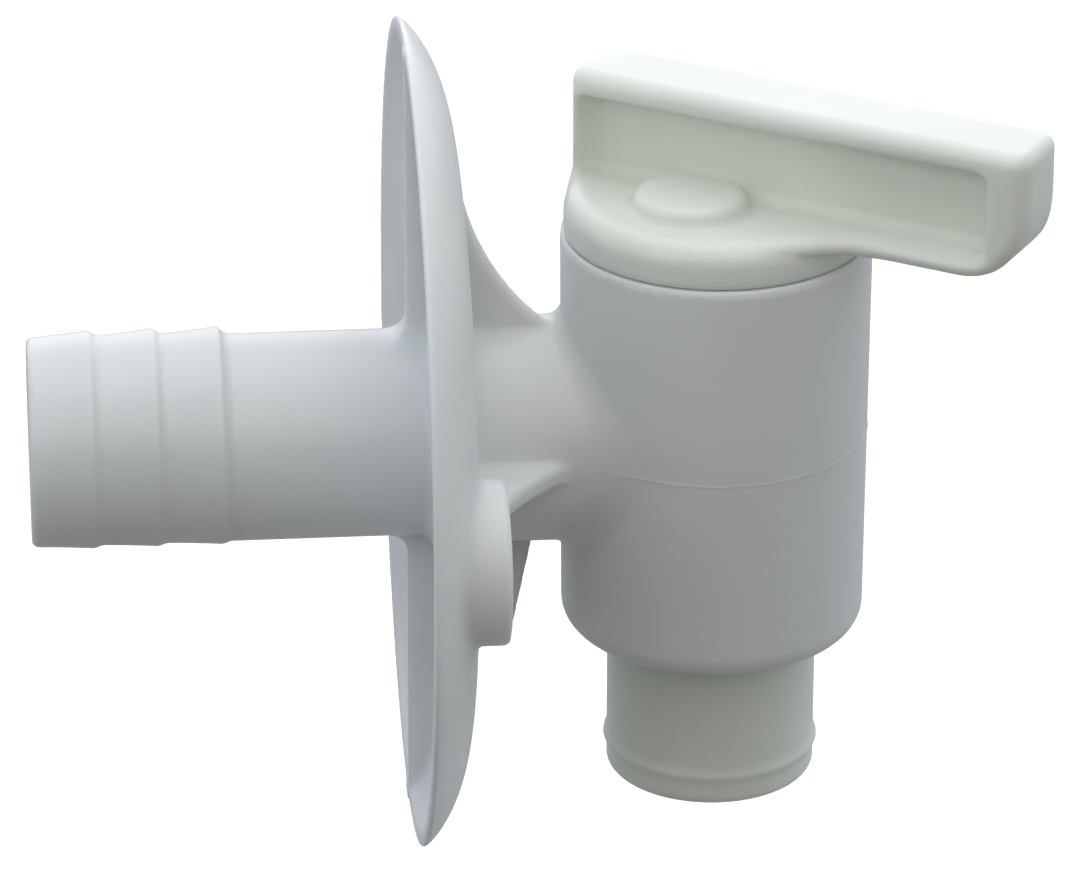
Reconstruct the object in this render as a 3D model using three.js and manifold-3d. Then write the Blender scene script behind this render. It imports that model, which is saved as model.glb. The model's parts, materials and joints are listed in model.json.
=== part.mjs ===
// A wall-mounted drain tap: a barbed hose tail, a domed flange, a vertical barrel with a
// quarter-turn plug inside it, a lever handle on top and a spout underneath.
// Units are millimetres. The origin is where the hose tail's axis meets the plane of the
// flange's back rim. +X points out of the wall towards the barrel, and +Z points up.

import * as THREE from "three";
import { mergeVertices } from "three/addons/utils/BufferGeometryUtils.js";
import Module from "manifold-3d";

const wasm = await Module();
wasm.setup();

const ROUND_STEPS = 40;
const SMALL_STEPS = 20;
const RING_STEPS = 8;
const CURVE_STEPS = 5;
const OVERSHOOT = 1;

const TAIL = { radius: 9.5, bore: 7.2, end: -34.5, endChamfer: 0.6, rootFillet: 2.5 };

// The barbs are centred a little above the tail's axis, so they fade out underneath.
const BARB = { count: 3, length: 5.85, thinEnd: 9.2, peak: 9.95, back: 0.35, rise: 0.3 };

// The flange's shoulder follows the curve (out / reach)^outPower + (height / depth)^downPower = 1.
const FLANGE = {
  radius: 38.2,
  depth: 4.8,
  flatRadius: 24,
  outPower: 2.5,
  downPower: 1.3,
  rimWidth: 1.8,
  wall: 1.9,
};

const NECK = { radius: 10.4, fillet: 2 };

const BACK_RIBS = { count: 2, thickness: 1.8, rimOverlap: 0.9, rootDepth: 0.5 };

const BOSS = {
  offset: 27.7,
  radius: 7.35,
  front: 7.1,
  rootDepth: 0.5,
  hole: 2.3,
  sinkRadius: 4.2,
  sinkDepth: 2.2,
};

const BARREL = {
  axis: 28.28,
  topRadius: 14.2,
  bottomRadius: 13.95,
  top: 19.2,
  bottom: -20,
  bore: 10.9,
  floor: 2.6,
  floorHole: 9,
  edgeFillet: 2.4,
  topChamfer: 0.4,
};

// The webs that brace the flange. The arcs are the free edges of the top and side ones.
const GUSSET = { thickness: 2.2, root: 4.2, inner: 8.2 };

const ARC = { along: 28.1, out: 28.4, topRadius: 23.5, sideRadius: 22.9, topReach: 26.5 };

const LOWER_WEB = { reach: 21.5, topEdge: 12, bottomEdge: 9.7, corner: 1.8 };

// The plug turns in the barrel's bore, and its side port faces away from the lever.
const PLUG = {
  radius: 10.65,
  bottom: -17.1,
  top: 16.6,
  bore: 7.2,
  boreTop: 9.5,
  port: 7,
  socketRadius: 9,
  socketTop: -12.1,
  driveAcross: 10.6,
  driveFloor: 13.8,
  endChamfer: 0.6,
};

const RING = { section: 0.98, radius: 9.72, groove: 8.6, grooveWidth: 2.3, heights: [-10.05, 12.35] };

const SEAL = { outer: 8.3, inner: 7.3, back: 15.9, face: 10.8, seatRadius: 8.5, seatBack: 15.6 };

const SPOUT = {
  radius: 9.66,
  top: -20.3,
  bottom: -34.9,
  spigotRadius: 8.7,
  spigotTop: -12.4,
  beadRadius: 9.97,
  beadHeight: -31.9,
  beadHalf: 0.7,
  lipRadius: 9.1,
  lipHeight: 1,
};

const CAP = { radius: 13.9, bottom: 19.5, top: 23.4, edge: 1.5 };

// The lever points this many degrees towards -Y from +X, which is part way to closed.
const LEVER = {
  turn: -32,
  tip: 32.3,
  rear: -13.8,
  halfWidth: 4,
  top: 33.7,
  bottom: 21.5,
  topBar: 2.2,
  halfWeb: 1.2,
  tipWall: 4.2,
  rearWall: 1.2,
  tipRadius: 7,
  topRadius: 1.2,
  planRadius: 2.4,
  neckRadius: 6,
};

const HUB = { radius: 5.2, back: -0.2, out: 5.1, top: 25 };

const DRIVE = { across: 10, bottom: 14.2, pilot: 2.05, pilotTop: 22.9 };

const SCREW = {
  radius: 1.75,
  top: 22.5,
  headRadius: 3.9,
  headHeight: 2.3,
  headRound: 1,
  slotWidth: 1.1,
  slotDepth: 1,
};

const WASHER = { outer: 4.3, inner: 2.05, height: 0.8, gap: 0.15 };

const STOP = { inner: 11.2, outer: 12.3, lugBottom: 17.6, lugHalfAngle: 6, slotOuter: 12.7, slotFloor: 17.2 };

const STOP_TRAVEL = { open: 0, closed: -90, margin: 2 };

const radians = THREE.MathUtils.degToRad;

// A closed geometry as a solid that can be joined and cut.
function solid(geometry) {
  const bare = geometry.index ? geometry.toNonIndexed() : geometry.clone();
  bare.deleteAttribute("normal");
  bare.deleteAttribute("uv");
  const merged = mergeVertices(bare, 1e-4);
  const vertProperties = merged.attributes.position.array;
  const triVerts = new Uint32Array(merged.index.array);
  return new wasm.Manifold(new wasm.Mesh({ numProp: 3, vertProperties, triVerts }));
}

function geometryOf(body) {
  const { vertProperties, triVerts } = body.getMesh();
  const geometry = new THREE.BufferGeometry();
  geometry.setAttribute("position", new THREE.BufferAttribute(vertProperties, 3));
  geometry.setIndex(new THREE.BufferAttribute(triVerts, 1));
  geometry.computeVertexNormals();
  return geometry;
}

// A profile of [radius, height] points turned about Z.
function turnedZ(profile, steps = ROUND_STEPS) {
  const points = profile.map(([radius, height]) => new THREE.Vector2(radius, height));
  return new THREE.LatheGeometry(points, steps).rotateX(Math.PI / 2);
}

// A profile of [radius, x] points turned about X.
function turnedX(profile, steps = ROUND_STEPS) {
  return turnedZ(profile, steps).rotateY(Math.PI / 2);
}

// A round bar about Z between two heights.
function roundBar(radius, low, high, steps = ROUND_STEPS) {
  const bar = new THREE.CylinderGeometry(radius, radius, high - low, steps);
  return bar.rotateX(Math.PI / 2).translate(0, 0, (low + high) / 2);
}

// A round bar about X between two places.
function roundBarX(radius, low, high, steps = ROUND_STEPS) {
  return roundBar(radius, low, high, steps).rotateY(Math.PI / 2);
}

function block(width, depth, low, high) {
  return new THREE.BoxGeometry(width, depth, high - low).translate(0, 0, (low + high) / 2);
}

// A flat plate of an outline drawn in X and Z, centred on the plane y = 0.
function plate(outline, thickness) {
  const options = { depth: thickness, bevelEnabled: false, curveSegments: CURVE_STEPS };
  const geometry = new THREE.ExtrudeGeometry(outline, options);
  return geometry.rotateX(Math.PI / 2).translate(0, thickness / 2, 0);
}

function domeAt(radius, depth, outerRadius) {
  const along = (radius - FLANGE.flatRadius) / (outerRadius - FLANGE.flatRadius);
  return depth * Math.max(0, 1 - Math.max(0, along) ** FLANGE.outPower) ** (1 / FLANGE.downPower);
}

// Points of a dome's shoulder, from its flat top out to its rim.
function domeShoulder(depth, outerRadius, steps = CURVE_STEPS) {
  const points = [];
  for (let i = 0; i <= steps; i++) {
    const angle = (i / steps) * (Math.PI / 2);
    const out = Math.sin(angle) ** (2 / FLANGE.outPower);
    const radius = FLANGE.flatRadius + (outerRadius - FLANGE.flatRadius) * out;
    points.push([radius, i < steps ? domeAt(radius, depth, outerRadius) : 0]);
  }
  return points;
}

// One barb of the hose tail, which widens towards the flange.
function barb(start) {
  const { length, thinEnd, peak, back, rise } = BARB;
  const profile = [
    [0, start],
    [thinEnd, start],
    [peak, start + length],
    [thinEnd, start + length + back],
    [0, start + length + back],
  ];
  return solid(turnedX(profile).translate(0, 0, rise));
}

// A concave fillet between a round bar and a face square to it, from the face out along the bar.
function concaveQuarter(radius, face, size, towards) {
  const points = [];
  for (let i = 0; i <= CURVE_STEPS; i++) {
    const angle = (i / CURVE_STEPS) * (Math.PI / 2);
    const along = towards * size * (1 - Math.cos(angle));
    points.push([radius + size * (1 - Math.sin(angle)), face + along]);
  }
  return points;
}

// Hose tail, hollow-backed flange and neck, all turned about the pipe's axis.
function pipeAndFlange() {
  const hollowRadius = FLANGE.radius - FLANGE.rimWidth;
  const hollowDepth = FLANGE.depth - FLANGE.wall;
  const profile = [
    [TAIL.bore, TAIL.end],
    [TAIL.radius - TAIL.endChamfer, TAIL.end],
    [TAIL.radius, TAIL.end + TAIL.endChamfer],
    ...concaveQuarter(TAIL.radius, hollowDepth, TAIL.rootFillet, -1).reverse(),
    ...domeShoulder(hollowDepth, hollowRadius),
    ...domeShoulder(FLANGE.depth, FLANGE.radius).reverse(),
    ...concaveQuarter(NECK.radius, FLANGE.depth, NECK.fillet, 1),
    [NECK.radius, BARREL.axis - BARREL.bore],
    [TAIL.bore, BARREL.axis - BARREL.bore],
    [TAIL.bore, TAIL.end],
  ];
  return solid(turnedX(profile));
}

// One rib behind the flange, flush with the rim, before it is turned to its place.
function backRib() {
  const root = TAIL.radius - BACK_RIBS.rootDepth;
  const reach = FLANGE.radius - BACK_RIBS.rimOverlap;
  const depth = FLANGE.depth - FLANGE.wall + BACK_RIBS.rootDepth;
  const outline = new THREE.Shape();
  outline.moveTo(0, root);
  outline.lineTo(0, reach);
  for (let i = 0; i <= CURVE_STEPS; i++) {
    const radius = reach + (root - reach) * (i / CURVE_STEPS);
    outline.lineTo(domeAt(radius, depth, FLANGE.radius), radius);
  }
  return plate(outline, BACK_RIBS.thickness);
}

// A web beside the neck, whose free edge is a hollow arc from the neck out along the flange.
function archedWeb(arcRadius, reach) {
  const { root, inner, thickness } = GUSSET;
  const start = Math.PI + Math.asin((ARC.out - inner) / arcRadius);
  const end = Math.PI + Math.asin((ARC.out - reach) / arcRadius);
  const outline = new THREE.Shape();
  outline.moveTo(root, reach);
  outline.lineTo(root, inner);
  outline.absarc(ARC.along, ARC.out, arcRadius, start, end, true);
  return plate(outline, thickness);
}

function lowerWeb() {
  const { reach, topEdge, bottomEdge, corner } = LOWER_WEB;
  const outline = new THREE.Shape();
  outline.moveTo(GUSSET.root, -reach);
  outline.lineTo(bottomEdge - corner, -reach);
  outline.quadraticCurveTo(bottomEdge, -reach, bottomEdge, corner - reach);
  outline.lineTo(topEdge, -GUSSET.inner);
  outline.lineTo(GUSSET.root, -GUSSET.inner);
  return plate(outline, GUSSET.thickness);
}

// A round screw seat beside the pipe, which grows out of the flange's wall.
function screwBoss(side) {
  const depth = FLANGE.depth - FLANGE.wall + BOSS.rootDepth;
  const outerRadius = FLANGE.radius - FLANGE.rimWidth + BOSS.rootDepth;
  const underneath = [
    [0, -OVERSHOOT],
    [outerRadius, -OVERSHOOT],
    ...domeShoulder(depth, outerRadius).reverse(),
    [0, depth],
  ];
  const seat = roundBarX(BOSS.radius, -OVERSHOOT / 2, BOSS.front, 2 * SMALL_STEPS);
  return solid(seat.translate(0, side * BOSS.offset, 0)).subtract(solid(turnedX(underneath)));
}

function screwHole(side) {
  const profile = [
    [0, -OVERSHOOT],
    [BOSS.hole, -OVERSHOOT],
    [BOSS.hole, BOSS.front - BOSS.sinkDepth],
    [BOSS.sinkRadius, BOSS.front],
    [BOSS.sinkRadius, BOSS.front + OVERSHOOT],
    [0, BOSS.front + OVERSHOOT],
  ];
  return solid(turnedX(profile, SMALL_STEPS).translate(0, side * BOSS.offset, 0));
}

// The barrel's outside, with a rounded bottom edge.
function barrelOutside() {
  const rounded = [];
  for (let i = 0; i <= CURVE_STEPS; i++) {
    const angle = (i / CURVE_STEPS) * (Math.PI / 2);
    const radius = BARREL.bottomRadius - BARREL.edgeFillet * (1 - Math.sin(angle));
    rounded.push([radius, BARREL.bottom + BARREL.edgeFillet * (1 - Math.cos(angle))]);
  }
  const profile = [
    [0, BARREL.bottom],
    ...rounded,
    [BARREL.topRadius, BARREL.top - BARREL.topChamfer],
    [BARREL.topRadius - BARREL.topChamfer, BARREL.top],
    [0, BARREL.top],
  ];
  return solid(turnedZ(profile).translate(BARREL.axis, 0, 0));
}

function barrelInside() {
  const floorTop = BARREL.bottom + BARREL.floor;
  const profile = [
    [0, BARREL.bottom - OVERSHOOT],
    [BARREL.floorHole, BARREL.bottom - OVERSHOOT],
    [BARREL.floorHole, floorTop],
    [BARREL.bore, floorTop],
    [BARREL.bore, BARREL.top + OVERSHOOT],
    [0, BARREL.top + OVERSHOOT],
  ];
  return solid(turnedZ(profile).translate(BARREL.axis, 0, 0));
}

// A block of a ring between two radii, two angles in degrees and two heights, about Z.
function ringSector(inner, outer, from, to, low, high) {
  const outline = new THREE.Shape();
  outline.absarc(0, 0, outer, radians(from), radians(to), false);
  outline.absarc(0, 0, inner, radians(to), radians(from), true);
  const options = { depth: high - low, bevelEnabled: false, curveSegments: 2 * CURVE_STEPS };
  return new THREE.ExtrudeGeometry(outline, options).translate(0, 0, low);
}

// The slot in the barrel's rim that ends the handle's quarter turn.
function stopSlot() {
  const spare = STOP.lugHalfAngle + STOP_TRAVEL.margin;
  const from = STOP_TRAVEL.closed - spare;
  const to = STOP_TRAVEL.open + spare;
  const inner = BARREL.bore - OVERSHOOT;
  const slot = ringSector(inner, STOP.slotOuter, from, to, STOP.slotFloor, BARREL.top + OVERSHOOT);
  return solid(slot.translate(BARREL.axis, 0, 0));
}

function valveBody() {
  let body = pipeAndFlange();
  for (let i = 0; i < BARB.count; i++) {
    body = body.add(barb(TAIL.end + i * BARB.length));
  }
  for (let i = 0; i < BACK_RIBS.count; i++) {
    body = body.add(solid(backRib().rotateX((i / BACK_RIBS.count) * 2 * Math.PI)));
  }
  body = body.add(solid(archedWeb(ARC.topRadius, ARC.topReach))).add(solid(lowerWeb()));
  const sideReach = BOSS.offset - BOSS.radius + OVERSHOOT;
  for (const side of [-1, 1]) {
    body = body.add(solid(archedWeb(ARC.sideRadius, sideReach).rotateX((-side * Math.PI) / 2)));
    body = body.add(screwBoss(side)).subtract(screwHole(side));
  }
  body = body.add(barrelOutside()).subtract(barrelInside()).subtract(stopSlot());
  const inlet = solid(roundBarX(TAIL.bore, TAIL.end - OVERSHOOT, BARREL.axis));
  const sealSeat = solid(roundBarX(SEAL.seatRadius, SEAL.seatBack, BARREL.axis));
  return body.subtract(inlet).subtract(sealSeat);
}

// The rubber ring round the inlet, with its front cut to the plug's curve.
function portSeal() {
  const profile = [
    [SEAL.inner, SEAL.back],
    [SEAL.outer, SEAL.back],
    [SEAL.outer, BARREL.axis],
    [SEAL.inner, BARREL.axis],
    [SEAL.inner, SEAL.back],
  ];
  const reach = SEAL.outer + OVERSHOOT;
  const plugSpace = roundBar(SEAL.face, -reach, reach).translate(BARREL.axis, 0, 0);
  return solid(turnedX(profile)).subtract(solid(plugSpace));
}

// The pieces below turn together. Each is drawn about the barrel's axis with the lever along +X.

function plug() {
  const { radius, top, bottom, endChamfer, bore, boreTop, socketRadius, socketTop } = PLUG;
  const grooves = RING.heights.flatMap((height) => {
    const half = RING.grooveWidth / 2;
    return [
      [radius, height - half],
      [RING.groove, height - half],
      [RING.groove, height + half],
      [radius, height + half],
    ];
  });
  const profile = [
    [0, bottom],
    [radius - endChamfer, bottom],
    [radius, bottom + endChamfer],
    ...grooves,
    [radius, top - endChamfer],
    [radius - endChamfer, top],
    [0, top],
  ];
  const waterway = solid(roundBar(bore, bottom - OVERSHOOT, boreTop));
  const socket = solid(roundBar(socketRadius, bottom - OVERSHOOT, socketTop));
  const port = solid(roundBarX(PLUG.port, -radius - OVERSHOOT, 0));
  const drive = solid(block(PLUG.driveAcross, PLUG.driveAcross, PLUG.driveFloor, top + OVERSHOOT));
  const screwHoleRound = solid(roundBar(WASHER.inner, boreTop - OVERSHOOT, top, SMALL_STEPS));
  return solid(turnedZ(profile))
    .subtract(waterway)
    .subtract(socket)
    .subtract(port)
    .subtract(drive)
    .subtract(screwHoleRound);
}

function ring(height) {
  const torus = new THREE.TorusGeometry(RING.radius, RING.section, RING_STEPS, ROUND_STEPS);
  return solid(torus.translate(0, 0, height));
}

function spout() {
  const { radius, top, bottom, beadRadius, beadHeight, beadHalf } = SPOUT;
  const profile = [
    [PLUG.bore, bottom],
    [SPOUT.lipRadius, bottom],
    [radius, bottom + SPOUT.lipHeight],
    [radius, beadHeight - beadHalf],
    [beadRadius, beadHeight],
    [radius, beadHeight + beadHalf],
    [radius, top],
    [SPOUT.spigotRadius, top],
    [SPOUT.spigotRadius, SPOUT.spigotTop],
    [PLUG.bore, SPOUT.spigotTop],
    [PLUG.bore, bottom],
  ];
  return solid(turnedZ(profile));
}

// The lever's outline seen from the side, with a large round under the tip.
function leverSide() {
  const { tip, rear, top, bottom, tipRadius, topRadius } = LEVER;
  const outline = new THREE.Shape();
  outline.moveTo(rear, bottom);
  outline.lineTo(tip - tipRadius, bottom);
  outline.absarc(tip - tipRadius, bottom + tipRadius, tipRadius, -Math.PI / 2, 0, false);
  outline.absarc(tip - topRadius, top - topRadius, topRadius, 0, Math.PI / 2, false);
  outline.absarc(rear + topRadius, top - topRadius, topRadius, Math.PI / 2, Math.PI, false);
  return plate(outline, 2 * LEVER.halfWidth);
}

// The lever's outline seen from above, which rounds its upright corners.
function leverPlan() {
  const { tip, rear, halfWidth, planRadius, bottom, top } = LEVER;
  const outline = new THREE.Shape();
  const side = halfWidth - planRadius;
  const front = tip - planRadius;
  const back = rear + planRadius;
  outline.absarc(front, -side, planRadius, -Math.PI / 2, 0, false);
  outline.absarc(front, side, planRadius, 0, Math.PI / 2, false);
  outline.absarc(back, side, planRadius, Math.PI / 2, Math.PI, false);
  outline.absarc(back, -side, planRadius, Math.PI, 1.5 * Math.PI, false);
  const height = top - bottom + 2 * OVERSHOOT;
  const options = { depth: height, bevelEnabled: false, curveSegments: CURVE_STEPS };
  return new THREE.ExtrudeGeometry(outline, options).translate(0, 0, bottom - OVERSHOOT);
}

// The hollow that leaves the thin web on one side of the lever.
function leverPocket(side) {
  const { tip, rear, tipWall, rearWall, halfWidth, halfWeb, top, topBar } = LEVER;
  const length = tip - tipWall - (rear + rearWall);
  const depth = halfWidth - halfWeb + OVERSHOOT;
  const middle = side * (halfWeb + depth / 2);
  const pocket = block(length, depth, CAP.top, top - topBar);
  return pocket.translate(rear + rearWall + length / 2, middle, 0);
}

// The smooth corner between the round cap and the side of the lever, seen from above.
function capCorner(side) {
  const centreOut = LEVER.halfWidth + LEVER.neckRadius;
  const centreAlong = Math.sqrt((CAP.radius + LEVER.neckRadius) ** 2 - centreOut ** 2);
  const swing = Math.atan2(centreOut, centreAlong);
  const outline = new THREE.Shape();
  outline.moveTo(0, 0);
  outline.lineTo(CAP.radius * Math.cos(swing), CAP.radius * Math.sin(swing));
  outline.absarc(centreAlong, centreOut, LEVER.neckRadius, swing - Math.PI, -Math.PI / 2, false);
  outline.lineTo(centreAlong, 0);
  const depth = CAP.top - LEVER.bottom;
  const options = { depth, bevelEnabled: false, curveSegments: CURVE_STEPS };
  const corner = new THREE.ExtrudeGeometry(outline, options).translate(0, 0, LEVER.bottom);
  return side > 0 ? corner : corner.rotateX(Math.PI).translate(0, 0, CAP.top + LEVER.bottom);
}

function handle() {
  const { radius, bottom, top, edge } = CAP;
  const capProfile = [
    [0, bottom],
    [radius, bottom],
    [radius, top - edge],
    [radius - edge / 3, top - edge / 3],
    [radius - edge, top],
    [0, top],
  ];
  let lever = solid(leverSide()).intersect(solid(leverPlan()));
  for (const side of [-1, 1]) {
    lever = lever.subtract(solid(leverPocket(side)));
  }
  let body = solid(turnedZ(capProfile)).add(lever);
  for (const side of [-1, 1]) {
    const pad = roundBar(HUB.radius, CAP.bottom + OVERSHOOT, HUB.top, SMALL_STEPS);
    body = body.add(solid(capCorner(side)));
    body = body.add(solid(pad.translate(HUB.back, side * HUB.out, 0)));
  }
  const { lugHalfAngle, inner, outer, lugBottom } = STOP;
  const lug = ringSector(inner, outer, -lugHalfAngle, lugHalfAngle, lugBottom, bottom + OVERSHOOT);
  const post = block(DRIVE.across, DRIVE.across, DRIVE.bottom, bottom + OVERSHOOT);
  const pilot = roundBar(DRIVE.pilot, DRIVE.bottom - OVERSHOOT, DRIVE.pilotTop, SMALL_STEPS);
  return body.add(solid(lug)).add(solid(post)).subtract(solid(pilot));
}

const WASHER_TOP = PLUG.boreTop - WASHER.gap;
const HEAD_TOP = WASHER_TOP - WASHER.height - WASHER.gap;

function screwWasher() {
  const bottom = WASHER_TOP - WASHER.height;
  const profile = [
    [WASHER.inner, bottom],
    [WASHER.outer, bottom],
    [WASHER.outer, WASHER_TOP],
    [WASHER.inner, WASHER_TOP],
    [WASHER.inner, bottom],
  ];
  return solid(turnedZ(profile, SMALL_STEPS));
}

// The screw that holds the handle to the plug, driven upwards through the plug's roof.
function handleScrew() {
  const { radius, top, headRadius, headHeight, headRound, slotWidth, slotDepth } = SCREW;
  const bottom = HEAD_TOP - headHeight;
  const profile = [
    [0, bottom],
    [headRadius - headRound, bottom],
    [headRadius, bottom + headRound],
    [headRadius, HEAD_TOP],
    [radius, HEAD_TOP],
    [radius, top - radius],
    [0, top],
  ];
  const length = 2 * (headRadius - headRound);
  const across = block(length, slotWidth, bottom - OVERSHOOT, bottom + slotDepth);
  const along = block(slotWidth, length, bottom - OVERSHOOT, bottom + slotDepth);
  return solid(turnedZ(profile, SMALL_STEPS)).subtract(solid(across)).subtract(solid(along));
}

const whitePlastic = { color: 0xdfe0e4, roughness: 0.42, metalness: 0 };
const ivoryPlastic = { color: 0xe3e8dc, roughness: 0.38, metalness: 0 };
const blackRubber = { color: 0x1d1d1f, roughness: 0.75, metalness: 0 };
const stainless = { color: 0xb9bcc0, roughness: 0.3, metalness: 1 };

function named(name, body, finish) {
  const mesh = new THREE.Mesh(geometryOf(body), new THREE.MeshStandardMaterial(finish));
  mesh.name = name;
  return mesh;
}

const tap = new THREE.Group();
tap.add(named("valve_body", valveBody(), whitePlastic));
tap.add(named("port_seal", portSeal(), blackRubber));

const turning = new THREE.Group();
turning.position.x = BARREL.axis;
turning.rotation.z = radians(LEVER.turn);
turning.add(named("plug", plug(), ivoryPlastic));
turning.add(named("lower_o_ring", ring(RING.heights[0]), blackRubber));
turning.add(named("upper_o_ring", ring(RING.heights[1]), blackRubber));
turning.add(named("spout", spout(), ivoryPlastic));
turning.add(named("handle", handle(), ivoryPlastic));
turning.add(named("screw_washer", screwWasher(), blackRubber));
turning.add(named("handle_screw", handleScrew(), stainless));
tap.add(turning);

export default tap;
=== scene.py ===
"""A wall-mounted drain tap: hose tail, domed flange, barrel, quarter-turn lever and spout.

Each piece is drawn as a distance field in millimetres, in the CAD frame, and meshed at its edges and
curves by dual contouring. Blender works in metres, so the meshes are scaled by MM.
"""

import json
import math

import bpy
import numpy as np
from mathutils import Matrix, Vector


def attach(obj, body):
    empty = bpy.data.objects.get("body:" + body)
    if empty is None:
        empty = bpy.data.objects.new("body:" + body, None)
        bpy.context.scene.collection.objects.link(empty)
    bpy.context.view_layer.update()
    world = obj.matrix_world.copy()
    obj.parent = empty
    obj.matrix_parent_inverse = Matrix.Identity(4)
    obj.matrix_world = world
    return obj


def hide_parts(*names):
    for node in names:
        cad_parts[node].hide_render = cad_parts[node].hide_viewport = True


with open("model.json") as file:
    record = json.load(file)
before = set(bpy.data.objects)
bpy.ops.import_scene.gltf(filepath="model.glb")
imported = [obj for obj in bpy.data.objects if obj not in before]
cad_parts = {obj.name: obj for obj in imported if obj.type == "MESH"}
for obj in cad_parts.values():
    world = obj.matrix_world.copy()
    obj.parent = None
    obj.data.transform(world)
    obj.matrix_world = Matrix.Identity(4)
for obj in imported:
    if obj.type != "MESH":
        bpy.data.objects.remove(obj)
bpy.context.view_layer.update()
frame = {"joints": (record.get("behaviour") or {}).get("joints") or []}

MM = 0.001

# How far a field is stepped to find its slope: for placing points, and for shading across small edges.
SLOPE_STEP = 0.02
SHADING_STEP = 0.12

# ---------------------------------------------------------------- dimensions, in millimetres
#
# The hose tail's axis is X and the barrel's is upright. X runs from the flange's back and Z from the tail's
# axis. The turning pieces are drawn about the barrel's axis, with the lever along +X.

BARREL_AXIS = frame["joints"][0]["pos_m"][0] / MM

TAIL = {"radius": 9.5, "bore": 7.2, "end": -34.5, "root_fillet": 2.5, "mouth_round": 0.7}
BARB = {"count": 3, "length": 5.85, "thin_end": 9.2, "peak": 9.95, "back": 0.35, "rise": 0.3}
BARB_ROUND = 0.3
BARB_FILLET = 0.6

FLANGE = {"radius": 38.2, "depth": 4.8, "rim": 1.8, "wall": 1.9, "rim_round": 0.5, "hollow_round": 0.3}
SHOULDER = {"flat": 24.0, "out_power": 2.5, "down_power": 1.3}
NECK = {"radius": 10.4, "fillet": 2.0}
RIB = {"thickness": 1.8, "inset": 0.9, "fillet": 0.5}
GUSSET = {"thickness": 2.2, "root": 3.2, "inner": 8.2, "round": 0.8, "fillet": 0.6}
ARC = {"along": 28.1, "out": 28.4, "top_radius": 23.5, "side_radius": 22.9, "top_reach": 26.5}
LOWER_WEB = {"reach": 21.5, "top_edge": 12.0, "bottom_edge": 9.7, "corner": 1.8, "round": 0.35}
BOSS = {"offset": 27.7, "radius": 7.35, "front": 7.1, "root": 0.5, "round": 0.6, "fillet": 0.7}
BOSS_HOLE = {"radius": 2.3, "sink": 4.2, "sink_depth": 2.2}

BARREL = {"top_radius": 14.2, "bottom_radius": 13.95, "top": 19.2, "bottom": -20.0}
BARREL_ROUND = {"top": 0.35, "bottom": 2.4, "fillet": 1.6}
BORE = {"radius": 10.9, "floor": -17.4, "hole": 9.0, "edge_round": 0.25}
SEAM = {"height": 0.07, "half_width": 0.16}

PLUG = {"radius": 10.65, "bottom": -17.1, "top": 16.6, "bore": 7.2, "bore_top": 9.5, "port": 7.0}
PLUG_ROUND = {"ends": 0.5, "grooves": 0.1, "openings": 0.3}
SOCKET = {"radius": 9.0, "top": -12.1}
DRIVE = {"socket": 5.3, "floor": 13.8, "post": 5.0, "post_bottom": 14.2, "corner": 0.4}
PILOT = {"radius": 2.05, "top": 22.9}
RING = {"section": 0.98, "radius": 9.72, "groove": 8.6, "groove_width": 2.3, "heights": (-10.05, 12.35)}
SEAL = {"outer": 8.3, "inner": 7.3, "back": 15.9, "face": 10.8, "seat": 8.5, "seat_back": 15.6}
RUBBER_ROUND = 0.2

SPOUT = {"radius": 9.66, "top": -20.3, "bottom": -34.9}
SPOUT_ROUND = {"lip": 0.9, "top": 0.2, "bore": 0.35}
SPIGOT = {"radius": 8.7, "bottom": -31.9, "top": -12.4, "round": 0.3}
BEAD = {"height": -31.9, "out": 0.31, "half_width": 0.5}

CAP = {"radius": 13.9, "bottom": 19.35, "top": 23.4, "round": 2.2, "foot_round": 0.15}
LEVER = {"turn": -32.0, "tip": 32.3, "rear": -13.8, "half_width": 4.0, "top": 33.7, "bottom": 21.5}
LEVER_ROUND = {"plan": 2.4, "tip": 7.0, "top": 1.4, "edge": 1.3, "throat": 6.0, "foot": 1.3}
POCKET = {"web": 1.2, "bar": 2.2, "tip_wall": 4.2, "rear_wall": 1.2}
POCKET_ROUND = {"corner": 1.2, "floor": 0.9, "mouth": 0.5}
HUB = {"radius": 5.2, "back": -0.2, "out": 5.1, "top": 25.0, "round": 1.2, "fillet": 0.7}
STOP = {"inner": 11.2, "outer": 12.3, "bottom": 17.6, "half_angle": 6.0}
STOP_SLOT = {"outer": 12.7, "floor": 17.2, "from": -98.0, "to": 8.0}

SCREW = {"radius": 1.75, "top": 22.5, "head_radius": 3.9, "head_bottom": 6.1, "head_top": 8.4}
SCREW_HEAD_ROUND = {"crown": 1.1, "seat": 0.2}
SCREW_CROSS = {"half_width": 0.55, "reach": 2.9, "depth": 1.1}
THREAD = {"pitch": 1.6, "depth": 0.35, "start": 11.0, "run_in": 1.5}
WASHER = {"outer": 4.3, "inner": 2.05, "bottom": 8.55, "top": 9.35}

# How far one shape runs into the next before they are joined.
OVERLAP = 1


# ---------------------------------------------------------------- joining and cutting fields

def both(*fields):
    """The space inside every field."""
    joined = fields[0]
    for field in fields[1:]:
        joined = np.maximum(joined, field)
    return joined


def either(*fields):
    """The space inside any field."""
    joined = fields[0]
    for field in fields[1:]:
        joined = np.minimum(joined, field)
    return joined


def filleted(a, b, radius):
    """a and b joined, with a concave fillet where they meet."""
    corner = np.hypot(np.maximum(radius - a, 0), np.maximum(radius - b, 0))
    return np.maximum(radius, np.minimum(a, b)) - corner


def rounded(a, b, radius):
    """The space inside a and b, with a convex round where their faces meet."""
    corner = np.hypot(np.maximum(radius + a, 0), np.maximum(radius + b, 0))
    return np.minimum(-radius, np.maximum(a, b)) + corner


def slab(value, low, high):
    """The space where value lies between low and high."""
    return np.maximum(low - value, value - high)


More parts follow.
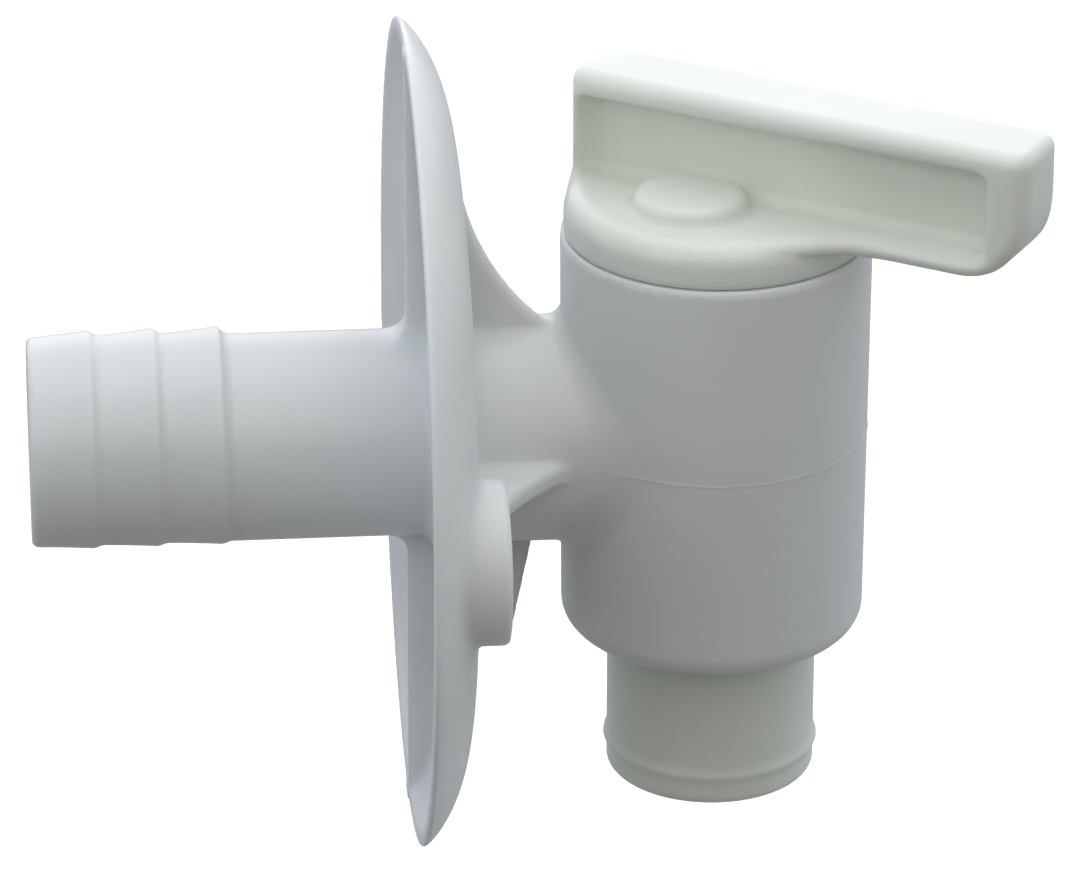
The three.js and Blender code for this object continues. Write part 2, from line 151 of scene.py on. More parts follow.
def rounded_slab(field, value, low, high, radius):
    """field cut to a slab, with both its edges rounded."""
    return rounded(rounded(field, low - value, radius), value - high, radius)


def line_side(u, v, start, end):
    """Distance to the right of a line from start to end, seen with u across and v up."""
    along = np.array(end) - np.array(start)
    along = along / np.hypot(*along)
    return (u - start[0]) * along[1] - (v - start[1]) * along[0]


def box_2d(u, v, low, high, radius):
    """A rectangle with round corners."""
    half = [(high[i] - low[i]) / 2 - radius for i in (0, 1)]
    across = np.abs(u - (low[0] + high[0]) / 2) - half[0]
    up = np.abs(v - (low[1] + high[1]) / 2) - half[1]
    outside = np.hypot(np.maximum(across, 0), np.maximum(up, 0))
    return outside + np.minimum(np.maximum(across, up), 0) - radius


# ---------------------------------------------------------------- meshing a field

def graded(low, high, step, fine_spans=()):
    """Grid lines from low to high, closer together within the (from, to, step) spans."""
    lines = [low]
    while lines[-1] < high:
        here = lines[-1]
        spacing = step
        for start, end, fine in fine_spans:
            if start <= here + fine and here < end:
                spacing = min(spacing, fine)
            elif here < start:
                spacing = min(spacing, max(fine, start - here))
        lines.append(here + spacing)
    return np.array(lines)


def sampled(field, lines, block=4):
    """field at every grid corner, worked out exactly only near the surface."""
    coarse = []
    for values in lines:
        middles = [values[i : i + block].mean() for i in range(0, len(values), block)]
        coarse.append(np.array(middles))
    # Twice the way from a block's middle to its corner, as some fields grow faster than distance does.
    reach = max(float(np.diff(values).max()) for values in coarse) * 1.8
    grid = np.meshgrid(*coarse, indexing="ij")
    rough = field(*[axis.ravel() for axis in grid]).reshape(grid[0].shape)
    values = rough
    for axis in range(3):
        values = np.repeat(values, block, axis=axis)
    values = values[: len(lines[0]), : len(lines[1]), : len(lines[2])].copy()
    near = np.nonzero(np.abs(values) < reach)
    values[near] = field(*[lines[axis][near[axis]] for axis in range(3)])
    return values


def gradient(field, points, reach):
    """The direction in which field grows, at each point."""
    slopes = []
    for axis in range(3):
        shift = np.zeros(3)
        shift[axis] = reach
        ahead = field(*(points + shift).T)
        behind = field(*(points - shift).T)
        slopes.append((ahead - behind) / (2 * reach))
    return np.array(slopes).T


def crossings(field, values, lines, axis):
    """Where grid edges along one axis meet the surface: edge corners, points, and which way is out."""
    count = values.shape[axis] - 1
    low = np.take(values, range(count), axis=axis)
    high = np.take(values, range(1, count + 1), axis=axis)
    corner = np.argwhere((low < 0) != (high < 0))
    low = low[tuple(corner.T)]
    high = high[tuple(corner.T)]
    start = np.stack([lines[i][corner[:, i]] for i in range(3)], axis=1)
    length = lines[axis][corner[:, axis] + 1] - start[:, axis]
    left, right = np.zeros(len(corner)), np.ones(len(corner))
    low_value, high_value = low.copy(), high.copy()
    for _ in range(4):
        share = np.clip(low_value / (low_value - high_value), 0.02, 0.98)
        share = left + share * (right - left)
        points = start.copy()
        points[:, axis] += share * length
        value = field(*points.T)
        before = (value < 0) == (low < 0)
        left, low_value = np.where(before, share, left), np.where(before, value, low_value)
        right, high_value = np.where(before, right, share), np.where(before, high_value, value)
    return corner, points, low < 0


def contour(field, lines):
    """The surface where field is zero, as vertices and four-sided faces (dual contouring)."""
    values = sampled(field, lines)
    shape = np.array(values.shape) - 1
    cells, normals, points, faces = [], [], [], []
    for axis in range(3):
        corner, point, outward = crossings(field, values, lines, axis)
        normal = gradient(field, point, SLOPE_STEP)
        normal /= np.linalg.norm(normal, axis=1, keepdims=True) + 1e-9
        first, second = (axis + 1) % 3, (axis + 2) % 3
        around = []
        for shift in ((-1, -1), (0, -1), (0, 0), (-1, 0)):
            cell = corner.copy()
            cell[:, first] += shift[0]
            cell[:, second] += shift[1]
            around.append(np.ravel_multi_index(cell.T, shape))
            cells.append(around[-1])
            normals.append(normal)
            points.append(point)
        quad = np.stack(around, axis=1)
        quad[~outward] = quad[~outward][:, ::-1]
        faces.append(quad)
    used, owner = np.unique(np.concatenate(cells), return_inverse=True)
    normals, points = np.concatenate(normals), np.concatenate(points)

    def summed(weights):
        return np.bincount(owner, weights, minlength=len(used))

    count = summed(np.ones(len(owner)))
    middle = np.stack([summed(points[:, i]) / count for i in range(3)], axis=1)
    offset = (normals * (points - middle[owner])).sum(axis=1)
    matrix = np.empty((len(used), 3, 3))
    for i in range(3):
        for j in range(3):
            matrix[:, i, j] = summed(normals[:, i] * normals[:, j])
        # A weak pull to the middle of the crossings, for where the surface is flat.
        matrix[:, i, i] += 0.05 * count / 4
    side = np.stack([summed(normals[:, i] * offset) for i in range(3)], axis=1)
    vertices = middle + np.linalg.solve(matrix, side[:, :, None])[:, :, 0]
    place = np.stack(np.unravel_index(used, shape), axis=1)
    for axis in range(3):
        low = lines[axis][place[:, axis]]
        high = lines[axis][place[:, axis] + 1]
        vertices[:, axis] = np.clip(vertices[:, axis], low, high)
    index = np.searchsorted(used, np.concatenate(faces))
    return vertices, index


def settle(field, vertices, limit=0.05):
    """Vertices moved the last little way onto the surface."""
    slope = gradient(field, vertices, SLOPE_STEP)
    size = (slope**2).sum(axis=1) + 1e-9
    step = np.clip(field(*vertices.T) / np.sqrt(size), -limit, limit)
    return vertices - slope * (step / np.sqrt(size))[:, None]


def piece(name, field, lines, body, material, turned=False):
    """One visible piece: its mesh, finish, the body it rides on and the CAD node it stands for."""
    vertices, faces = contour(field, lines)
    vertices = settle(field, vertices)
    normals = gradient(field, vertices, SHADING_STEP)
    normals /= np.linalg.norm(normals, axis=1, keepdims=True) + 1e-9
    if turned:
        vertices = to_frame(vertices) + np.array([BARREL_AXIS, 0, 0])
        normals = to_frame(normals)
    mesh = bpy.data.meshes.new(name)
    mesh.vertices.add(len(vertices))
    mesh.vertices.foreach_set("co", (vertices * MM).astype(np.float32).ravel())
    mesh.loops.add(faces.size)
    mesh.loops.foreach_set("vertex_index", faces.astype(np.int32).ravel())
    mesh.polygons.add(len(faces))
    mesh.polygons.foreach_set("loop_start", np.arange(0, faces.size, 4, dtype=np.int32))
    mesh.update(calc_edges=True)
    mesh.validate()
    mesh.polygons.foreach_set("use_smooth", [True] * len(mesh.polygons))
    mesh.normals_split_custom_set_from_vertices(normals.tolist())
    mesh.materials.append(material)
    shape = bpy.data.objects.new(name, mesh)
    bpy.context.scene.collection.objects.link(shape)
    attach(shape, body)
    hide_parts(name.removesuffix("_fine"))
    print(name, len(vertices), "vertices")
    return shape


def to_frame(points):
    """Points drawn with the lever along +X, turned to where the lever is at rest."""
    cosine, sine = math.cos(math.radians(LEVER["turn"])), math.sin(math.radians(LEVER["turn"]))
    turn = np.array([[cosine, -sine, 0], [sine, cosine, 0], [0, 0, 1]])
    return points @ turn.T


# ---------------------------------------------------------------- the valve body

def dome(x, radius, depth, outer):
    """The inside of a shallow dome: flat in the middle, then a shoulder down to the rim."""
    out_power, down_power = SHOULDER["out_power"], SHOULDER["down_power"]
    reach = outer - SHOULDER["flat"]
    out = np.maximum(radius - SHOULDER["flat"], 0) / reach
    up = np.maximum(x, 0) / depth
    inside = out**out_power + up**down_power - 1
    slope_out = out_power * out ** (out_power - 1) / reach
    slope_up = down_power * up ** (down_power - 1) / depth
    # The flat middle has almost no slope to divide by.
    return inside / np.maximum(np.hypot(slope_out, slope_up), 0.12)


def barb(x, radius, start):
    """One barb of the hose tail, which widens towards the flange."""
    rise = BARB["peak"] - BARB["thin_end"]
    edge = start + BARB["length"]
    cone = radius - BARB["thin_end"] - rise / BARB["length"] * (x - start)
    back = (rise * (x - edge) + BARB["back"] * (radius - BARB["peak"])) / math.hypot(rise, BARB["back"])
    return both(rounded(cone, back, BARB_ROUND), start - x)


def hose_tail(x, y, z, radius):
    """The pipe behind the flange: a plain bar with barbs at its end."""
    bar = both(radius - TAIL["radius"], x - GUSSET["root"])
    barb_radius = np.hypot(y, z - BARB["rise"])
    for i in range(BARB["count"]):
        bar = filleted(bar, barb(x, barb_radius, TAIL["end"] + i * BARB["length"]), BARB_FILLET)
    return rounded(bar, TAIL["end"] - x, TAIL["mouth_round"])


def flange(x, y, radius):
    """The domed flange, hollow behind, with an upright rib across the hollow."""
    hollow_depth = FLANGE["depth"] - FLANGE["wall"]
    hollow = dome(x, radius, hollow_depth, FLANGE["radius"] - FLANGE["rim"])
    front = dome(x, radius, FLANGE["depth"], FLANGE["radius"])
    shell = rounded(rounded(front, -x, FLANGE["rim_round"]), -hollow, FLANGE["hollow_round"])
    rib = both(front + FLANGE["wall"] / 2, -x, np.abs(y) - RIB["thickness"] / 2)
    rib = both(rib, radius - FLANGE["radius"] + RIB["inset"])
    return filleted(shell, rib, RIB["fillet"])


def arched_web(x, out, across, arc_radius, reach):
    """A web whose free edge is a hollow arc from the flange down to the neck."""
    outline = both(arc_radius - np.hypot(x - ARC["along"], out - ARC["out"]), GUSSET["inner"] - out)
    outline = both(outline, out - reach, GUSSET["root"] - x, x - BARREL_AXIS + BORE["radius"] + OVERLAP)
    return rounded(outline, np.abs(across) - GUSSET["thickness"] / 2, GUSSET["round"])


def lower_web(x, down, across):
    """The web under the neck, whose free edge is straight."""
    top, bottom = LOWER_WEB["top_edge"], LOWER_WEB["bottom_edge"]
    edge = line_side(x, down, (top, GUSSET["inner"]), (bottom, LOWER_WEB["reach"] - LOWER_WEB["corner"]))
    outline = rounded(edge, down - LOWER_WEB["reach"], LOWER_WEB["corner"])
    outline = both(outline, GUSSET["inner"] - down, GUSSET["root"] - x)
    return rounded(outline, np.abs(across) - GUSSET["thickness"] / 2, LOWER_WEB["round"])


def screw_boss(x, beside, radius):
    """A screw seat that grows out of the flange's wall."""
    wall_inside = dome(
        x,
        radius,
        FLANGE["depth"] - FLANGE["wall"] + BOSS["root"],
        FLANGE["radius"] - FLANGE["rim"] + BOSS["root"],
    )
    seat = rounded(beside - BOSS["radius"], x - BOSS["front"], BOSS["round"])
    return both(seat, -x, -wall_inside)


def screw_hole(x, reach):
    """A hole that widens to a countersink at the seat's front."""
    radius, sink, depth = BOSS_HOLE["radius"], BOSS_HOLE["sink"], BOSS_HOLE["sink_depth"]
    cone = radius + (x - BOSS["front"] + depth) * (sink - radius) / depth
    return reach - np.clip(cone, radius, sink)


def barrel_outside(reach, z):
    """The barrel's outside, tapered a little, with the mould seam round it."""
    share = (z - BARREL["bottom"]) / (BARREL["top"] - BARREL["bottom"])
    wall = reach - (BARREL["bottom_radius"] + share * (BARREL["top_radius"] - BARREL["bottom_radius"]))
    ridge = SEAM["height"] * np.maximum(0, 1 - np.abs(z) / SEAM["half_width"])
    outside = rounded(wall - ridge, BARREL["bottom"] - z, BARREL_ROUND["bottom"])
    return rounded(outside, z - BARREL["top"], BARREL_ROUND["top"])


def stop_slot(x, y, z, reach):
    """The slot in the barrel's rim that the handle's lug turns in."""
    middle = math.radians((STOP_SLOT["from"] + STOP_SLOT["to"]) / 2)
    half = math.radians((STOP_SLOT["to"] - STOP_SLOT["from"]) / 2)
    along = x * math.cos(middle) + y * math.sin(middle)
    across = np.abs(y * math.cos(middle) - x * math.sin(middle))
    wedge = across * math.cos(half) - along * math.sin(half)
    return both(wedge, reach - STOP_SLOT["outer"], STOP_SLOT["floor"] - z)


def valve_body(x, y, z):
    """Tail, flange, screw seats, webs, neck and barrel in one moulding, and its bores."""
    radius = np.hypot(y, z)
    reach = np.hypot(x - BARREL_AXIS, y)
    neck = both(radius - NECK["radius"], GUSSET["root"] - x, x - BARREL_AXIS)
    shape = filleted(flange(x, y, radius), hose_tail(x, y, z, radius), TAIL["root_fillet"])
    shape = filleted(shape, neck, NECK["fillet"])
    for side in (-1, 1):
        beside = np.hypot(y - side * BOSS["offset"], z)
        shape = filleted(shape, screw_boss(x, beside, radius), BOSS["fillet"])
        web = arched_web(x, side * y, z, ARC["side_radius"], BOSS["offset"])
        shape = filleted(shape, web, GUSSET["fillet"])
        shape = both(shape, -screw_hole(x, beside))
    web = arched_web(x, z, y, ARC["top_radius"], ARC["top_reach"])
    shape = filleted(shape, web, GUSSET["fillet"])
    shape = filleted(shape, lower_web(x, -z, y), GUSSET["fillet"])
    shape = filleted(shape, barrel_outside(reach, z), BARREL_ROUND["fillet"])
    inside = both(reach - BORE["radius"], BORE["floor"] - z)
    inside = either(inside, reach - BORE["hole"])
    inside = either(inside, stop_slot(x - BARREL_AXIS, y, z, reach))
    inlet = both(radius - TAIL["bore"], x - BARREL_AXIS)
    inlet = either(inlet, both(radius - SEAL["seat"], SEAL["seat_back"] - x, x - BARREL_AXIS))
    return rounded(shape, -either(inside, inlet), BORE["edge_round"])


# ---------------------------------------------------------------- the turning pieces, lever along +X

def square_bar(x, y, half):
    """The square of the handle's post and of the socket that it fits."""
    return box_2d(x, y, (-half, -half), (half, half), DRIVE["corner"])


def lever_pocket(x, y, z):
    """What is cut from the lever's sides to leave the web between its bars."""
    low = (LEVER["rear"] + POCKET["rear_wall"], CAP["top"] - OVERLAP)
    high = (LEVER["tip"] - POCKET["tip_wall"], LEVER["top"] - POCKET["bar"])
    pocket = box_2d(x, z, low, high, POCKET_ROUND["corner"])
    return rounded(pocket, POCKET["web"] - np.abs(y), POCKET_ROUND["floor"])


def grip(x, y, z):
    """The cap, the plate that widens into the lever, the lever on it and the pads at its foot."""
    disc = np.hypot(x, y) - CAP["radius"]
    low, high = (LEVER["rear"], -LEVER["half_width"]), (LEVER["tip"], LEVER["half_width"])
    plan = box_2d(x, y, low, high, LEVER_ROUND["plan"])
    low_tip = rounded(x - LEVER["tip"], LEVER["bottom"] - z, LEVER_ROUND["tip"])
    cap = rounded(disc, z - CAP["top"], CAP["round"])
    cap = rounded(cap, CAP["bottom"] - z, CAP["foot_round"])
    plate = rounded(filleted(disc, both(plan, -x), LEVER_ROUND["throat"]), low_tip, LEVER_ROUND["edge"])
    plate = rounded(plate, z - CAP["top"], CAP["round"])
    side = rounded(low_tip, z - LEVER["top"], LEVER_ROUND["top"])
    side = rounded(side, LEVER["rear"] - x, LEVER_ROUND["top"])
    lever = rounded(plan, side, LEVER_ROUND["edge"])
    lever = rounded(lever, -lever_pocket(x, y, z), POCKET_ROUND["mouth"])
    shape = filleted(either(cap, plate), lever, LEVER_ROUND["foot"])
    pad = np.hypot(x - HUB["back"], np.abs(y) - HUB["out"]) - HUB["radius"]
    pad = both(rounded(pad, z - HUB["top"], HUB["round"]), CAP["bottom"] + OVERLAP - z)
    return filleted(shape, pad, HUB["fillet"])


def handle(x, y, z):
    """The grip, with the post that turns the plug, the lug that stops it and the hole for the screw."""
    reach = np.hypot(x, y)
    under_cap = CAP["top"] - OVERLAP
    post = both(square_bar(x, y, DRIVE["post"]), slab(z, DRIVE["post_bottom"], under_cap))
    wedge = np.abs(np.arctan2(y, x)) - math.radians(STOP["half_angle"])
    lug = both(wedge * reach, slab(reach, STOP["inner"], STOP["outer"]))
    lug = both(lug, slab(z, STOP["bottom"], under_cap))
    pilot = both(reach - PILOT["radius"], z - PILOT["top"])
    return both(either(grip(x, y, z), post, lug), -pilot)


def plug(x, y, z):
    """The hollow plug: ring grooves, a port opposite the lever and a square socket on top."""
    reach = np.hypot(x, y)
    outside = rounded_slab(reach - PLUG["radius"], z, PLUG["bottom"], PLUG["top"], PLUG_ROUND["ends"])
    for height in RING["heights"]:
        groove = both(np.abs(z - height) - RING["groove_width"] / 2, RING["groove"] - reach)
        outside = rounded(outside, -groove, PLUG_ROUND["grooves"])
    inside = both(reach - PLUG["bore"], z - PLUG["bore_top"])
    inside = either(inside, both(reach - SOCKET["radius"], z - SOCKET["top"]))
    inside = either(inside, both(np.hypot(y, z) - PLUG["port"], x))
    square = square_bar(x, y, DRIVE["socket"])
    inside = either(inside, both(square, DRIVE["floor"] - z), both(reach - WASHER["inner"], -z))
    return rounded(outside, -inside, PLUG_ROUND["openings"])


def o_ring(height):
    def ring(x, y, z):
        return np.hypot(np.hypot(x, y) - RING["radius"], z - height) - RING["section"]

    return ring


def spout(x, y, z):
    """The spout's tube, with a bead near its mouth and a spigot up into the plug."""
    reach = np.hypot(x, y)
    bead = BEAD["out"] * np.exp(-(((z - BEAD["height"]) / BEAD["half_width"]) ** 2))
    tube = rounded(reach - SPOUT["radius"] - bead, SPOUT["bottom"] - z, SPOUT_ROUND["lip"])
    tube = rounded(tube, z - SPOUT["top"], SPOUT_ROUND["top"])
    spigot = slab(z, SPIGOT["bottom"], SPIGOT["top"])
    tube = either(tube, rounded(reach - SPIGOT["radius"], spigot, SPIGOT["round"]))
    return rounded(tube, PLUG["bore"] - reach, SPOUT_ROUND["bore"])


def port_seal(x, y, z):
    """The ring round the inlet, cut to the plug's curve."""
    radius = np.hypot(y, z)
    ring = rounded(slab(radius, SEAL["inner"], SEAL["outer"]), SEAL["back"] - x, RUBBER_ROUND)
    ring = both(ring, x - BARREL_AXIS)
    return rounded(ring, SEAL["face"] - np.hypot(x - BARREL_AXIS, y), RUBBER_ROUND)


def screw_washer(x, y, z):
    ring = slab(np.hypot(x, y), WASHER["inner"], WASHER["outer"])
    return rounded_slab(ring, z, WASHER["bottom"], WASHER["top"], RUBBER_ROUND)


def handle_screw(x, y, z):
    """A cross-headed screw, head down, whose thread bites in the handle."""
    reach = np.hypot(x, y)
    turn = np.arctan2(y, x) / (2 * math.pi)
    phase = (z / THREAD["pitch"] - turn) % 1.0
    ridge = THREAD["depth"] * np.maximum(0, 1 - 4 * np.abs(phase - 0.5))
    fade = np.clip((z - THREAD["start"]) / THREAD["run_in"], 0, 1)
    core = reach - (SCREW["radius"] - THREAD["depth"]) - ridge * fade
    # Scaled, because the thread's flanks and the point's cone are steep.
    core = both(core * 0.8, reach - (SCREW["top"] - z) * 0.8)
    shank = both(core, SCREW["head_bottom"] + OVERLAP - z)
    head = rounded(reach - SCREW["head_radius"], SCREW["head_bottom"] - z, SCREW_HEAD_ROUND["crown"])
    head = rounded(head, z - SCREW["head_top"], SCREW_HEAD_ROUND["seat"])
    arms = either(
        both(np.abs(x) - SCREW_CROSS["half_width"], np.abs(y) - SCREW_CROSS["reach"]),
        both(np.abs(y) - SCREW_CROSS["half_width"], np.abs(x) - SCREW_CROSS["reach"]),
    )
    arms = both(arms, z - SCREW["head_bottom"] - SCREW_CROSS["depth"])
    return both(either(shank, head), -arms)


# ---------------------------------------------------------------- materials

def new_material(name):
    material = bpy.data.materials.new(name)
    material.use_nodes = True
    nodes = material.node_tree.nodes
    return material, nodes, material.node_tree.links, nodes["Principled BSDF"]


def noise(nodes, links, where, scale, detail, roughness=0.5):
    texture = nodes.new("ShaderNodeTexNoise")
    texture.inputs["Scale"].default_value = scale
    texture.inputs["Detail"].default_value = detail
    texture.inputs["Roughness"].default_value = roughness
    links.new(where, texture.inputs["Vector"])
    return texture.outputs["Fac"]


def ramp(nodes, links, value, low, high, low_colour, high_colour):
    blend = nodes.new("ShaderNodeValToRGB")
    blend.color_ramp.elements[0].position = low
    blend.color_ramp.elements[1].position = high
    blend.color_ramp.elements[0].color = (*low_colour, 1)
    blend.color_ramp.elements[1].color = (*high_colour, 1)
    links.new(value, blend.inputs["Fac"])
    return blend.outputs["Color"]


def mapped(nodes, links, value, low, high, to_low, to_high):
    span = nodes.new("ShaderNodeMapRange")
    for name, number in (("From Min", low), ("From Max", high), ("To Min", to_low), ("To Max", to_high)):
        span.inputs[name].default_value = number
    links.new(value, span.inputs["Value"])
    return span.outputs["Result"]


def moulded_plastic(name, deep, light, gloss, depth):
    """Moulded plastic: faint cloudy flow marks, a fine skin and light that soaks in by depth metres."""
    material, nodes, links, shader = new_material(name)
    where = nodes.new("ShaderNodeTexCoord").outputs["Object"]
    clouds = noise(nodes, links, where, 55, 4)
    links.new(ramp(nodes, links, clouds, 0.3, 0.7, deep, light), shader.inputs["Base Color"])
    patches = noise(nodes, links, where, 140, 5)
    links.new(mapped(nodes, links, patches, 0.3, 0.7, gloss - 0.05, gloss + 0.07), shader.inputs["Roughness"])
    # Slow waves, five times as deep as the skin's grain.
    grain = noise(nodes, links, where, 1500, 3)
    waves = noise(nodes, links, where, 120, 2)
    height = nodes.new("ShaderNodeMath")
    height.operation = "MULTIPLY_ADD"
    links.new(waves, height.inputs[0])
    height.inputs[1].default_value = 5
    links.new(grain, height.inputs[2])
    bump = nodes.new("ShaderNodeBump")
    bump.inputs["Strength"].default_value = 0.12
    bump.inputs["Distance"].default_value = 0.0001
    links.new(height.outputs[0], bump.inputs["Height"])
    links.new(bump.outputs["Normal"], shader.inputs["Normal"])
    shader.inputs["IOR"].default_value = 1.5
    shader.inputs["Subsurface Weight"].default_value = 0.4
    shader.inputs["Subsurface Radius"].default_value = (depth, 0.92 * depth, 0.8 * depth)
    shader.inputs["Subsurface Scale"].default_value = 1.0
    return material


def black_rubber(name):
    material, nodes, links, shader = new_material(name)
    where = nodes.new("ShaderNodeTexCoord").outputs["Object"]
    cloud = noise(nodes, links, where, 300, 4)
    colour = ramp(nodes, links, cloud, 0.3, 0.7, (0.012, 0.012, 0.013), (0.03, 0.03, 0.031))
    links.new(colour, shader.inputs["Base Color"])
    links.new(mapped(nodes, links, cloud, 0.3, 0.7, 0.55, 0.75), shader.inputs["Roughness"])
    bump = nodes.new("ShaderNodeBump")
    bump.inputs["Strength"].default_value = 0.2
    bump.inputs["Distance"].default_value = 0.00005
    links.new(noise(nodes, links, where, 2500, 2), bump.inputs["Height"])
    links.new(bump.outputs["Normal"], shader.inputs["Normal"])
    return material


def stainless_steel(name):
    material, nodes, links, shader = new_material(name)
    where = nodes.new("ShaderNodeTexCoord").outputs["Object"]
    stretch = nodes.new("ShaderNodeMapping")
    stretch.inputs["Scale"].default_value = (1, 1, 12)
    links.new(where, stretch.inputs["Vector"])
    lines = noise(nodes, links, stretch.outputs["Vector"], 400, 3)
    colour = ramp(nodes, links, lines, 0.3, 0.7, (0.5, 0.5, 0.51), (0.66, 0.66, 0.67))
    links.new(colour, shader.inputs["Base Color"])
    links.new(mapped(nodes, links, lines, 0.3, 0.7, 0.22, 0.36), shader.inputs["Roughness"])
    shader.inputs["Metallic"].default_value = 1.0
    return material


# ---------------------------------------------------------------- making the pieces

white = moulded_plastic("white_moulded_plastic", (0.715, 0.74, 0.745), (0.76, 0.785, 0.79), 0.36, 0.0022)
ivory = moulded_plastic("ivory_moulded_plastic", (0.745, 0.785, 0.725), (0.795, 0.84, 0.78), 0.34, 0.0032)
rubber = black_rubber("black_rubber")
steel = stainless_steel("stainless_steel")

BODY_STEP = 0.57

# Where the valve body has finer steps, and how fine, as (from, to, step).
BARB_EDGES = [TAIL["end"] + (i + 1) * BARB["length"] for i in range(BARB["count"])]
MOUTH_SPAN = (-34.8, -33.9, 0.22)
BARB_SPANS = [(edge - 0.3, edge + 0.7, 0.2) for edge in BARB_EDGES]
RIM_SPAN = (-0.4, 1.0, 0.28)
SEAM_SPAN = (-0.3, 0.3, 0.08)

body_lines = (
    graded(-35.3, BARREL_AXIS + 15.2, BODY_STEP, [MOUTH_SPAN, *BARB_SPANS, RIM_SPAN]),
    graded(-38.9, 38.9, BODY_STEP),
    graded(-38.9, 38.9, BODY_STEP, [SEAM_SPAN]),
)
piece("valve_body_fine", valve_body, body_lines, "housing", white)

seal_lines = (graded(15.4, 23, 0.3), graded(-8.8, 8.8, 0.3), graded(-8.8, 8.8, 0.3))
piece("port_seal_fine", port_seal, seal_lines, "housing", rubber)


def turning_piece(name, field, low, high, step, material):
    lines = tuple(graded(low[i], high[i], step) for i in range(3))
    piece(name, field, lines, "turning_group", material, turned=True)


turning_piece("handle_fine", handle, (-14, -14, 13.8), (34, 14, 34.3), 0.35, ivory)
turning_piece("spout_fine", spout, (-10.6, -10.6, -35), (10.6, 10.6, -12), 0.4, ivory)
turning_piece("plug_fine", plug, (-11.2, -11.2, -17.6), (11.2, 11.2, 17.1), 0.45, ivory)
for ring_name, ring_height in zip(("lower_o_ring_fine", "upper_o_ring_fine"), RING["heights"]):
    low, high = (-11, -11, ring_height - 1.3), (11, 11, ring_height + 1.3)
    turning_piece(ring_name, o_ring(ring_height), low, high, 0.3, rubber)
turning_piece("screw_washer_fine", screw_washer, (-4.7, -4.7, 8.2), (4.7, 4.7, 9.7), 0.2, rubber)
turning_piece("handle_screw_fine", handle_screw, (-4.3, -4.3, 5.7), (4.3, 4.3, 22.9), 0.2, steel)

# ---------------------------------------------------------------- floor, light and camera

# In metres.
FLOOR = -0.25
LAMP_SIZE = 0.3

# How bright the surroundings are to the right, to the left, behind, above and below.
SKY = (
    ("X", 1, (0.75, 0.81, 0.86)),
    ("X", -1, (0.28, 0.33, 0.39)),
    ("Y", 1, (1.97, 1.88, 1.93)),
    ("Z", 1, (0.20, 0.24, 0.30)),
    ("Z", -1, (0.18, 0.14, 0.07)),
)


def floor():
    """A pale sweep that glows a little, as a light table does. It's left out of the bounced light."""
    bpy.ops.mesh.primitive_plane_add(size=30, location=(0, 0, FLOOR))
    ground = bpy.context.object
    ground.name = "floor"
    ground.visible_diffuse = False
    ground.visible_glossy = False
    material, nodes, links, shader = new_material("pale_floor")
    where = nodes.new("ShaderNodeTexCoord").outputs["Object"]
    cloud = noise(nodes, links, where, 3, 2)
    colour = ramp(nodes, links, cloud, 0.3, 0.7, (0.93, 0.93, 0.93), (0.95, 0.95, 0.95))
    links.new(colour, shader.inputs["Base Color"])
    shader.inputs["Roughness"].default_value = 0.9
    shader.inputs["Specular IOR Level"].default_value = 0.1
    shader.inputs["Emission Color"].default_value = (1, 1, 1, 1)
    shader.inputs["Emission Strength"].default_value = 0.7
    ground.data.materials.append(material)


def reflected_card():
    """A pale card just under the floor that only reflections show, so that the floor's glow doesn't."""
    bpy.ops.mesh.primitive_plane_add(size=30, location=(0, 0, FLOOR - 0.001))
    card = bpy.context.object
    card.name = "reflected_card"
    card.visible_camera = False
    card.visible_diffuse = False
    card.visible_shadow = False
    material, _, _, shader = new_material("pale_card")
    shader.inputs["Base Color"].default_value = (0.8, 0.8, 0.8, 1)
    shader.inputs["Roughness"].default_value = 0.9
    card.data.materials.append(material)


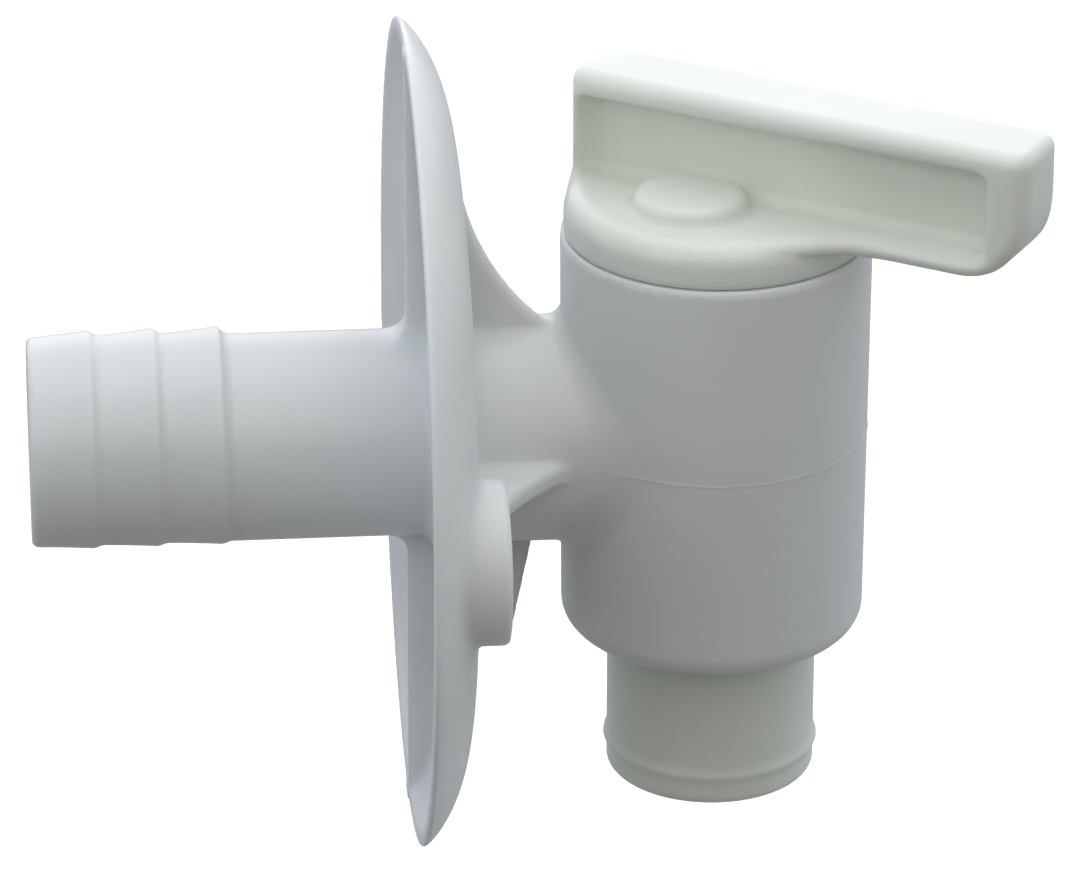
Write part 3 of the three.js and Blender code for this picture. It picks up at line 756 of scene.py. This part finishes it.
def surroundings():
    """Soft light from both sides and, most of it, from behind the tap, as from a window."""
    world = bpy.data.worlds.new("world")
    bpy.context.scene.world = world
    world.use_nodes = True
    nodes, links = world.node_tree.nodes, world.node_tree.links
    split = nodes.new("ShaderNodeSeparateXYZ")
    links.new(nodes.new("ShaderNodeTexCoord").outputs["Generated"], split.inputs["Vector"])
    light = None
    for axis, end, colour in SKY:
        share = nodes.new("ShaderNodeMath")
        share.operation = "POWER"
        links.new(mapped(nodes, links, split.outputs[axis], 0, end, 0, 1), share.inputs[0])
        share.inputs[1].default_value = 2
        added = nodes.new("ShaderNodeVectorMath")
        added.operation = "MULTIPLY_ADD"
        links.new(share.outputs[0], added.inputs[0])
        added.inputs[1].default_value = colour
        if light:
            links.new(light, added.inputs[2])
        light = added.outputs[0]
    links.new(light, nodes["Background"].inputs["Color"])


def area_light(name, place, target, power, colour=(1, 1, 1)):
    light = bpy.data.lights.new(name, "AREA")
    light.shape = "RECTANGLE"
    light.size, light.size_y = LAMP_SIZE, LAMP_SIZE
    light.energy = power
    light.color = colour
    lamp = bpy.data.objects.new(name, light)
    lamp.location = place
    lamp.rotation_euler = (Vector(target) - Vector(place)).to_track_quat("-Z", "Y").to_euler()
    bpy.context.scene.collection.objects.link(lamp)


def camera():
    """A long lens a little above the tap, square to the pipe but for a few degrees."""
    azimuth, elevation, roll = math.radians(-4.79), math.radians(25.3), math.radians(0.16)
    distance = 0.6712
    target = Vector((0.01227, 0, -0.00084))
    back = Vector((
        math.sin(azimuth) * math.cos(elevation),
        -math.cos(azimuth) * math.cos(elevation),
        math.sin(elevation),
    ))
    right = (-back).cross(Vector((0, 0, 1))).normalized()
    up = right.cross(-back)
    rolled_right = math.cos(roll) * right + math.sin(roll) * up
    rolled_up = back.cross(rolled_right)
    view = bpy.data.objects.new("camera", bpy.data.cameras.new("camera"))
    view.matrix_world = Matrix((
        (rolled_right.x, rolled_up.x, back.x, target.x + back.x * distance),
        (rolled_right.y, rolled_up.y, back.y, target.y + back.y * distance),
        (rolled_right.z, rolled_up.z, back.z, target.z + back.z * distance),
        (0, 0, 0, 1),
    ))
    view.data.lens = 244
    view.data.sensor_width = 36
    view.data.clip_start = 0.01
    view.data.clip_end = 100
    bpy.context.scene.collection.objects.link(view)
    bpy.context.scene.camera = view


floor()
reflected_card()
surroundings()
area_light("overhead", (0.02, -0.01, 0.28), (0, 0, 0), 0.37)
area_light("front", (0.03, -0.35, 0.28), (0.01, 0, 0), 0.34, (1, 0.88, 0.68))
area_light("left", (-0.3, -0.25, 0.2), (0, 0, 0), 0.46, (0.92, 0.95, 1))
bpy.context.scene.view_settings.view_transform = "Standard"
camera()
